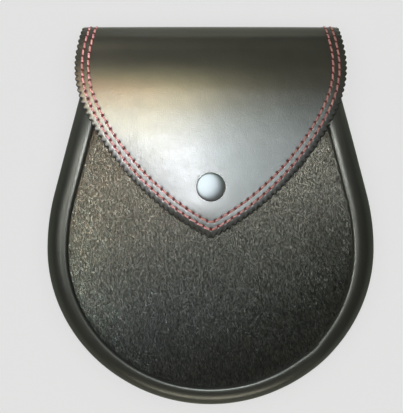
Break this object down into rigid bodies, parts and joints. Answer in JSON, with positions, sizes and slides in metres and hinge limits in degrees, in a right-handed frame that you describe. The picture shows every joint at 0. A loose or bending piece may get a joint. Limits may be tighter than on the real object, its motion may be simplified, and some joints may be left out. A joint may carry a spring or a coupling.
{
  "type": "sporran pouch",
  "caption": "Rounded leather pouch with a domed hide front, a rolled rim, a pointed flap folded over the top and shut by a press stud, and belt loops behind.",
  "frame": {"origin": "on the surface that the pouch lies on, under the middle of its outline", "axes": "+Z out of the front of the pouch, +Y towards the fold of the flap, +X to the right seen from the front"},
  "size_m": [0.1714, 0.1988, 0.0399],
  "materials": {
    "black_leather": "smooth, half gloss",
    "back_leather": "smooth, dull",
    "black_hide": "short smooth hair",
    "brushed_nickel": "brushed nickel plate"
  },
  "bodies": {
    "root": {"back_panel": "back_leather", "gusset": "black_leather", "front_panel": "black_hide", "flap": "black_leather", "belt_loop_left": "back_leather", "belt_loop_right": "back_leather", "snap_cap": "brushed_nickel", "snap_socket": "brushed_nickel", "snap_stud": "brushed_nickel"}
  },
  "joints": []
}
